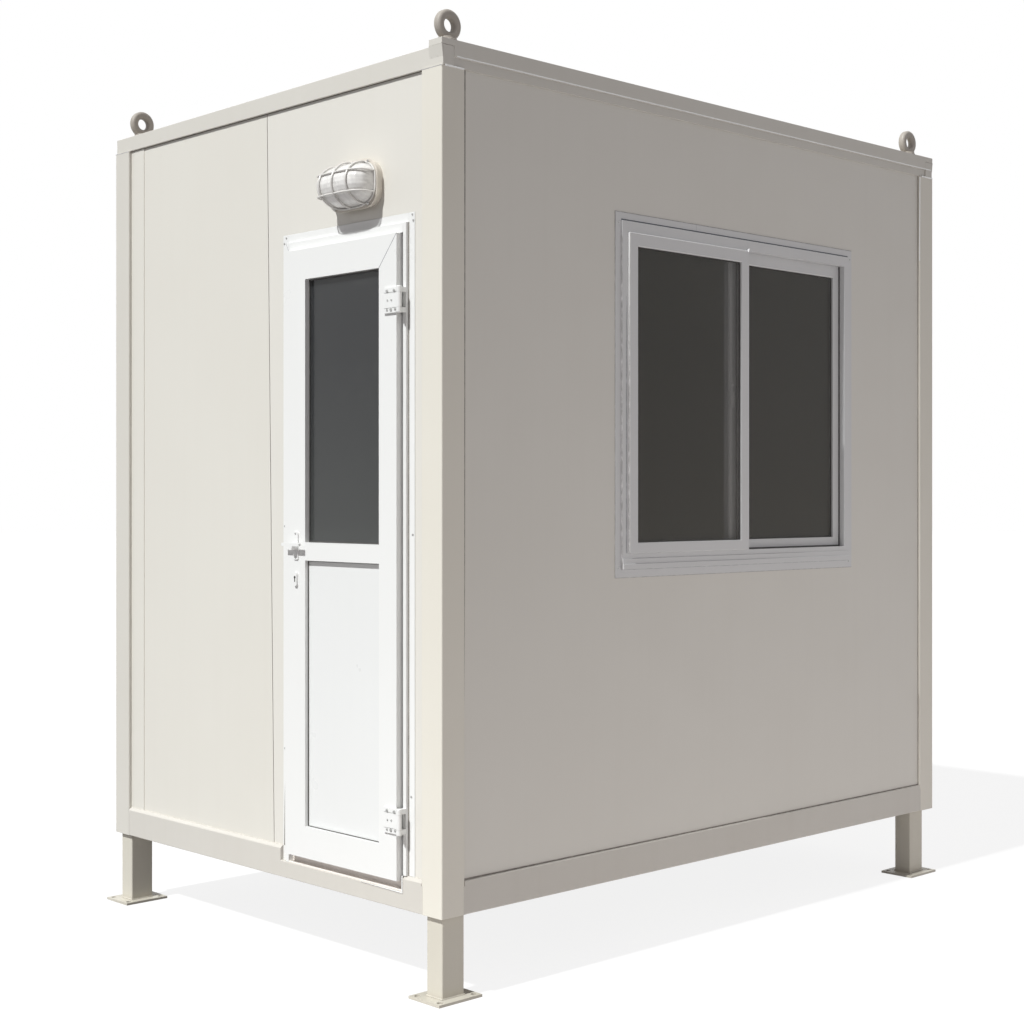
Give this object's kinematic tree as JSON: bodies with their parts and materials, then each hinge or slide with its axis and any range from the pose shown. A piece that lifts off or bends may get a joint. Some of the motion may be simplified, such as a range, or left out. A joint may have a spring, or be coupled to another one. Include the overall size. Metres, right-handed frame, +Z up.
{
  "type": "security guard booth",
  "caption": "Steel-framed guard booth on legs, a box of wall panels with a glazed hinged door, a sliding window, a caged lamp over the door and lifting eyes on the roof rails.",
  "frame": {"origin": "on the ground, at the centre of the four foot plates' anchor holes", "axes": "+Z up, -Y out of the door face, +X out of the window wall"},
  "size_m": [1.834, 2.6636, 2.887],
  "materials": {
    "frame_paint": "satin cream paint",
    "wall_sheet": "satin cream coated sheet",
    "eye_paint": "worn beige-grey paint",
    "floor_board": "sealed board",
    "door_white": "white powder coat",
    "window_white": "white powder coat",
    "pane_glass": "dark tinted glass",
    "handle_metal": "white coated metal",
    "lamp_white": "white enamel",
    "lamp_glass": "ribbed clear glass"
  },
  "bodies": {
    "booth": {"leg_front_left": "frame_paint", "leg_front_right": "frame_paint", "leg_back_left": "frame_paint", "leg_back_right": "frame_paint", "base_rail_front": "frame_paint", "base_rail_back": "frame_paint", "base_rail_left": "frame_paint", "base_rail_right": "frame_paint", "post_front_left": "frame_paint", "post_front_right": "frame_paint", "post_back_left": "frame_paint", "post_back_right": "frame_paint", "roof_rail_front": "frame_paint", "roof_rail_back": "frame_paint", "roof_rail_left": "frame_paint", "roof_rail_right": "frame_paint", "eye_front_left": "eye_paint", "eye_front_right": "eye_paint", "eye_back_left": "eye_paint", "eye_back_right": "eye_paint", "floor_deck": "floor_board", "roof_panel": "wall_sheet", "front_wall_left": "wall_sheet", "front_wall_middle": "wall_sheet", "front_wall_over_door": "wall_sheet", "front_wall_right": "wall_sheet", "left_wall": "wall_sheet", "back_wall": "wall_sheet", "right_wall": "wall_sheet", "door_jamb_left": "door_white", "door_jamb_right": "door_white", "door_head": "door_white", "door_threshold": "door_white", "door_stop_left": "door_white", "door_stop_right": "door_white", "door_stop_head": "door_white", "hinge_frame_halves": "door_white", "window_frame": "window_white", "window_outer_sash": "window_white", "window_inner_sash": "window_white", "window_outer_glass": "pane_glass", "window_inner_glass": "pane_glass", "window_latch": "handle_metal", "lamp_base": "lamp_white", "lamp_glass": "lamp_glass", "lamp_guard": "lamp_white"},
    "door": {"door_leaf": "door_white", "door_panel": "door_white", "door_glass": "pane_glass", "hinge_leaf_halves": "door_white", "handle_plates": "door_white"},
    "lever": {"handle_lever": "handle_metal"}
  },
  "joints": [
    {"name": "door_hinge", "type": "hinge", "parent": "booth", "child": "door", "pos_m": [0.735, -1.2885, 0.33], "axis": [0, 0, 1], "range_deg": [0, 120]},
    {"name": "handle_turn", "type": "hinge", "parent": "door", "child": "lever", "pos_m": [0.221, -1.2895, 1.308], "axis": [0, 1, 0], "range_deg": [0, 40], "stiffness_Nm_per_rad": 0.6}
  ]
}
